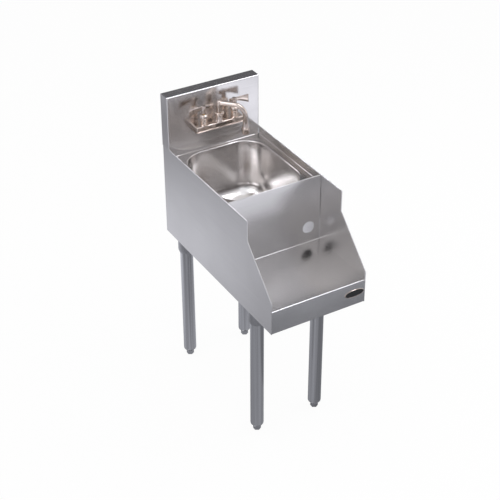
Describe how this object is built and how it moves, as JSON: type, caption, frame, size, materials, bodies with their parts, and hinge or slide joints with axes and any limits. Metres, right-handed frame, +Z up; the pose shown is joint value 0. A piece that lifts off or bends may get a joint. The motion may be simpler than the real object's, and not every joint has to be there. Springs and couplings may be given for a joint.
{
  "type": "bar sink station",
  "caption": "Narrow steel underbar sink with a drawn bowl, splash mounted swing faucet, low front shelf with a cord hole, and tube legs on adjustable feet.",
  "frame": {"origin": "on the floor, under the middle of the station's overall box", "axes": "+Z up, the apron faces -Y and the backsplash stands against a wall on +Y, +X to the right as seen from behind the shelf's user"},
  "size_m": [0.305, 0.616, 0.938],
  "materials": {
    "sheet_steel": "satin, brushed front to back",
    "bowl_steel": "satin, drawn",
    "frame_steel": "mill finish",
    "leg_steel": "satin, brushed along the tube",
    "foot_steel": "satin",
    "faucet_chrome": "polished",
    "brass_fittings": "turned",
    "rubber_seals": "matte"
  },
  "bodies": {
    "station": {"left_side_panel": "sheet_steel", "right_side_panel": "sheet_steel", "partition_panel": "sheet_steel", "blender_shelf": "sheet_steel", "sink_deck": "sheet_steel", "sink_bowl": "bowl_steel", "backsplash": "sheet_steel", "rear_tie_rail": "frame_steel", "front_leg_channel": "frame_steel", "rear_leg_channel": "frame_steel", "front_left_socket": "frame_steel", "front_right_socket": "frame_steel", "rear_left_socket": "frame_steel", "rear_right_socket": "frame_steel", "front_left_leg": "leg_steel", "front_right_leg": "leg_steel", "rear_left_leg": "leg_steel", "rear_right_leg": "leg_steel", "socket_screws": "foot_steel", "foot_inserts": "foot_steel", "faucet_body": "faucet_chrome", "supply_shanks": "brass_fittings", "shank_washers": "rubber_seals", "shank_nuts": "brass_fittings", "left_valve_bonnet": "faucet_chrome", "right_valve_bonnet": "faucet_chrome", "spout_nut": "faucet_chrome", "drain_flange": "faucet_chrome", "drain_gasket": "rubber_seals", "drain_locknut": "brass_fittings", "tailpiece": "faucet_chrome", "tailpiece_washer": "rubber_seals", "tailpiece_nut": "brass_fittings"},
    "front_left_foot": {"front_left_foot": "foot_steel"},
    "front_right_foot": {"front_right_foot": "foot_steel"},
    "rear_left_foot": {"rear_left_foot": "foot_steel"},
    "rear_right_foot": {"rear_right_foot": "foot_steel"},
    "spout": {"spout": "faucet_chrome", "spout_seals": "rubber_seals", "aerator": "faucet_chrome"},
    "left_lever": {"left_handle": "faucet_chrome", "left_valve_stem": "brass_fittings", "left_handle_screw": "faucet_chrome"},
    "right_lever": {"right_handle": "faucet_chrome", "right_valve_stem": "brass_fittings", "right_handle_screw": "faucet_chrome"},
    "strainer": {"drain_strainer": "faucet_chrome"}
  },
  "joints": [
    {"name": "front_left_foot_slide", "type": "slide", "parent": "station", "child": "front_left_foot", "axis": [0, 0, -1], "range_m": [0, 0.025]},
    {"name": "front_right_foot_slide", "type": "slide", "parent": "station", "child": "front_right_foot", "axis": [0, 0, -1], "range_m": [0, 0.025]},
    {"name": "rear_left_foot_slide", "type": "slide", "parent": "station", "child": "rear_left_foot", "axis": [0, 0, -1], "range_m": [0, 0.025]},
    {"name": "rear_right_foot_slide", "type": "slide", "parent": "station", "child": "rear_right_foot", "axis": [0, 0, -1], "range_m": [0, 0.025]},
    {"name": "spout_swing", "type": "hinge", "parent": "station", "child": "spout", "pos_m": [0, 0.2385, 0.865], "axis": [0, 0, 1], "range_deg": [-113, 27]},
    {"name": "left_lever_turn", "type": "hinge", "parent": "station", "child": "left_lever", "pos_m": [-0.0508, 0.2385, 0.88], "axis": [0, 0, 1], "range_deg": [0, 80]},
    {"name": "right_lever_turn", "type": "hinge", "parent": "station", "child": "right_lever", "pos_m": [0.0508, 0.2385, 0.88], "axis": [0, 0, 1], "range_deg": [-80, 0]},
    {"name": "strainer_lift", "type": "slide", "parent": "station", "child": "strainer", "axis": [0, 0, 1], "range_m": [0, 0.06]}
  ]
}
